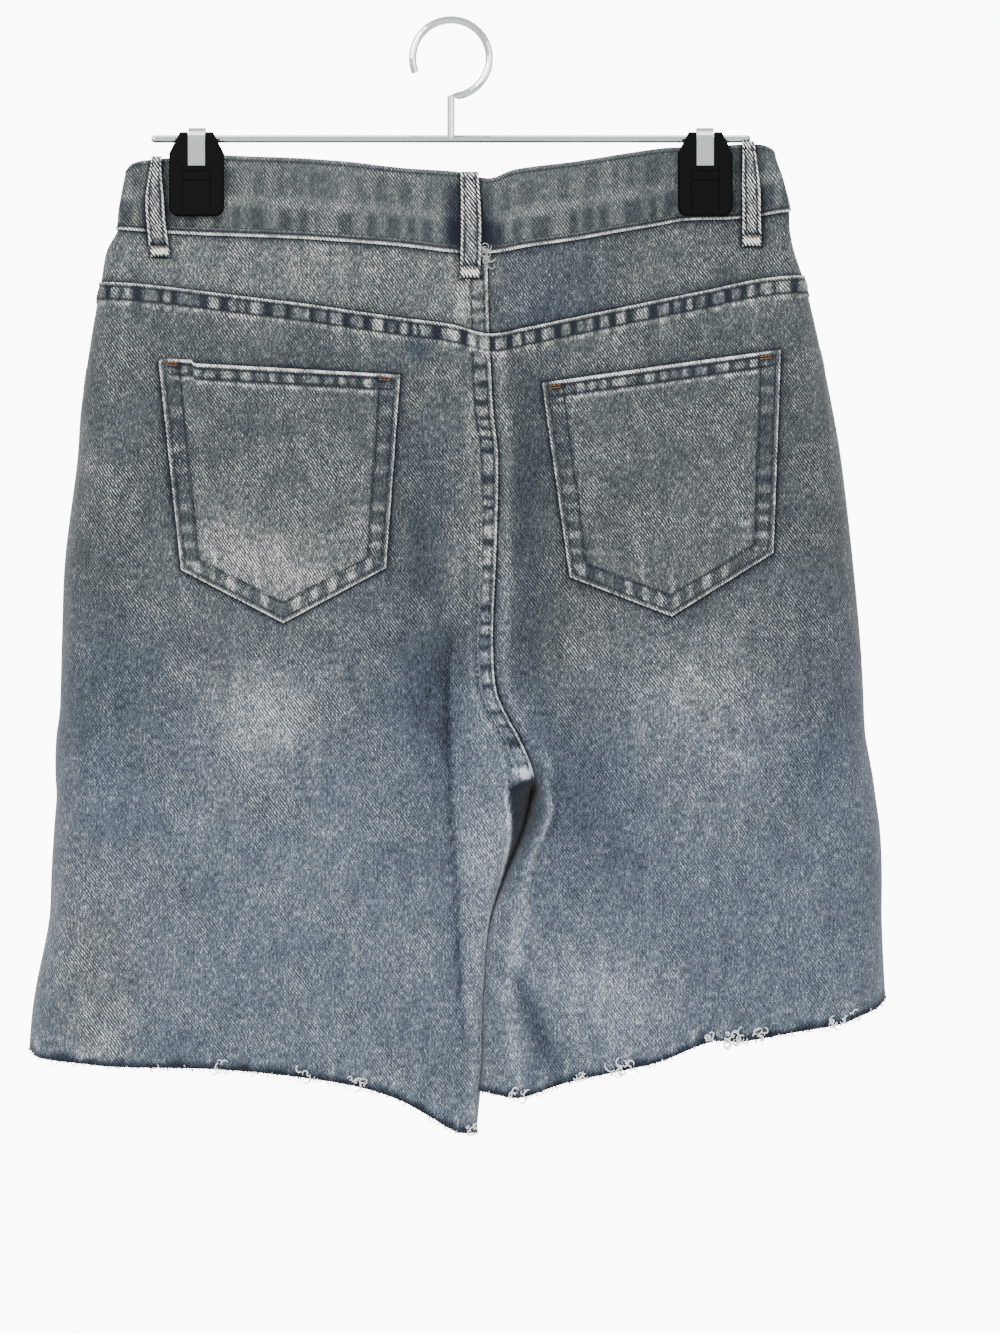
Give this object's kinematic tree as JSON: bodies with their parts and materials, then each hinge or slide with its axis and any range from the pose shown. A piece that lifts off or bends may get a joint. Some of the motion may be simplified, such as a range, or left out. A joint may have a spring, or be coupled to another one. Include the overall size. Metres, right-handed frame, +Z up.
{
  "type": "denim shorts on a clip hanger",
  "caption": "Light-wash denim shorts with seat pockets, belt loops and cut-off legs, hung flat by the waistband from a wire hanger with two spring clips.",
  "frame": {"origin": "inside top of the hanger's hook, where a rail carries it", "axes": "+Z up along the hanging garment, -Y out of the seat side, +X to the right when looking at the seat"},
  "size_m": [0.4452, 0.0671, 0.579],
  "materials": {
    "waistband_denim": "light grey washed denim with darker marks and a white worn edge",
    "yoke_denim": "grey-blue washed twill",
    "panel_denim": "washed indigo twill, faded on the seat and thighs, raw frayed hem",
    "button_brass": "aged, plain",
    "clip_plastic": "black, moulded, satin",
    "spring_chrome": "bright spring steel strip",
    "wire_chrome": "bright plated wire"
  },
  "bodies": {
    "root": {"waistband": "waistband_denim", "yoke_left": "yoke_denim", "yoke_right": "yoke_denim", "back_left": "panel_denim", "back_right": "panel_denim", "front_left": "panel_denim", "front_right": "panel_denim", "front_pocket_facing_left": "panel_denim", "front_pocket_facing_right": "panel_denim", "seat_pocket_left": "panel_denim", "seat_pocket_right": "panel_denim", "fly_flap": "panel_denim", "waist_button": "button_brass", "belt_loop_back_left": "waistband_denim", "belt_loop_back_centre": "waistband_denim", "belt_loop_back_right": "waistband_denim", "belt_loop_front_left": "waistband_denim", "belt_loop_front_right": "waistband_denim", "clip_pad_back_left": "clip_plastic", "clip_pad_back_right": "clip_plastic", "clip_pad_front_left": "clip_plastic", "clip_pad_front_right": "clip_plastic", "clip_spring_left": "spring_chrome", "clip_spring_right": "spring_chrome", "hanger_wire": "wire_chrome"}
  },
  "joints": []
}
